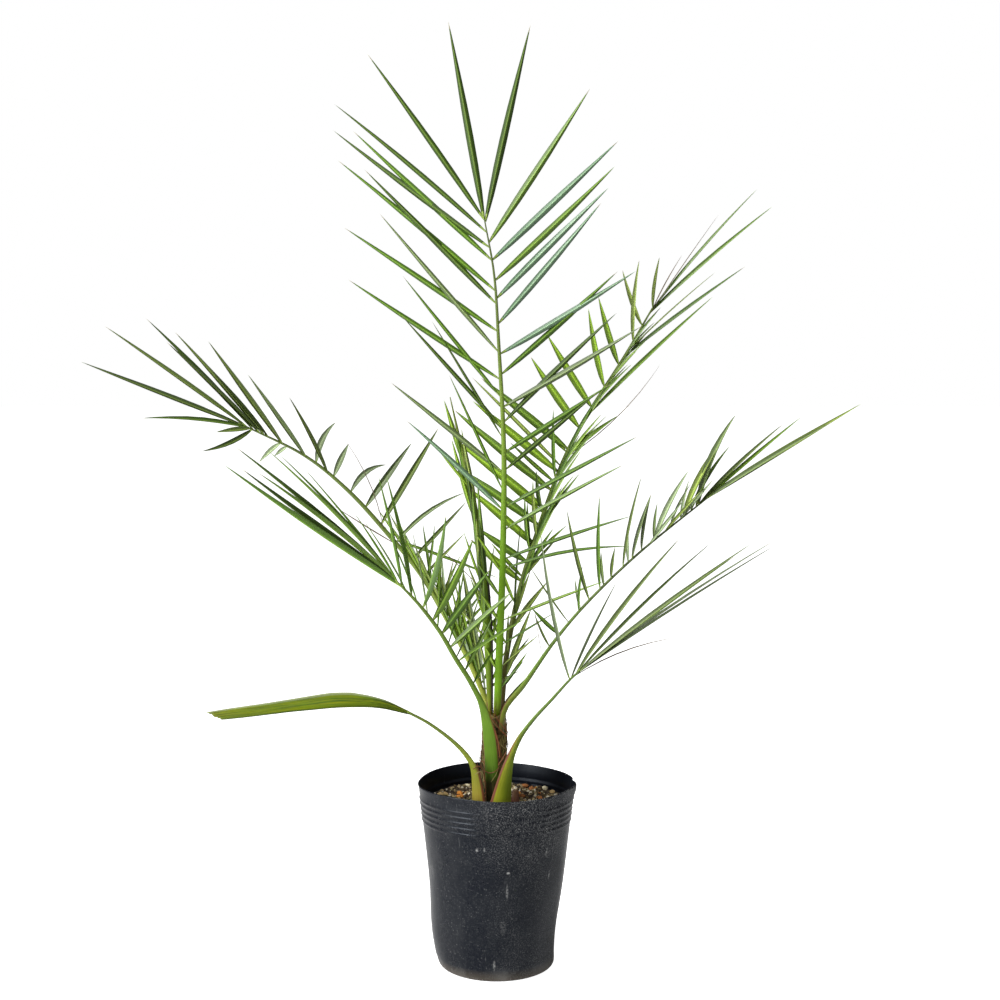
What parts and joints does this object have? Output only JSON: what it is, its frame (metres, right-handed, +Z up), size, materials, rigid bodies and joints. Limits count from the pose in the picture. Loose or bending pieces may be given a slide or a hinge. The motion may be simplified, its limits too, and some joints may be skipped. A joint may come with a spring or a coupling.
{
  "type": "potted canary island date palm",
  "caption": "Young Canary Island date palm with arching feathery fronds on a short fibrous stem, growing in a round black nursery pot; stands on the pot's flat underside.",
  "frame": {"origin": "centre of the pot's flat underside", "axes": "+Z up along the pot's axis, +X to the right in the front view, +Y away from its viewer"},
  "size_m": [0.7459, 0.2894, 0.9015],
  "materials": {
    "pot": "satin",
    "soil": "matte",
    "stem": "matte",
    "frond": "satin",
    "young_frond": "satin",
    "strap_leaf": "satin"
  },
  "bodies": {
    "root": {"pot": "pot", "soil": "soil", "stem": "stem", "frond_front_left": "frond", "frond_front_right": "frond", "strap_leaf_stalk": "strap_leaf", "strap_leaf_blade": "strap_leaf", "frond_right": "frond", "frond_upright": "frond", "frond_spear": "young_frond", "frond_back_right": "young_frond", "frond_back_left": "frond"}
  },
  "joints": []
}
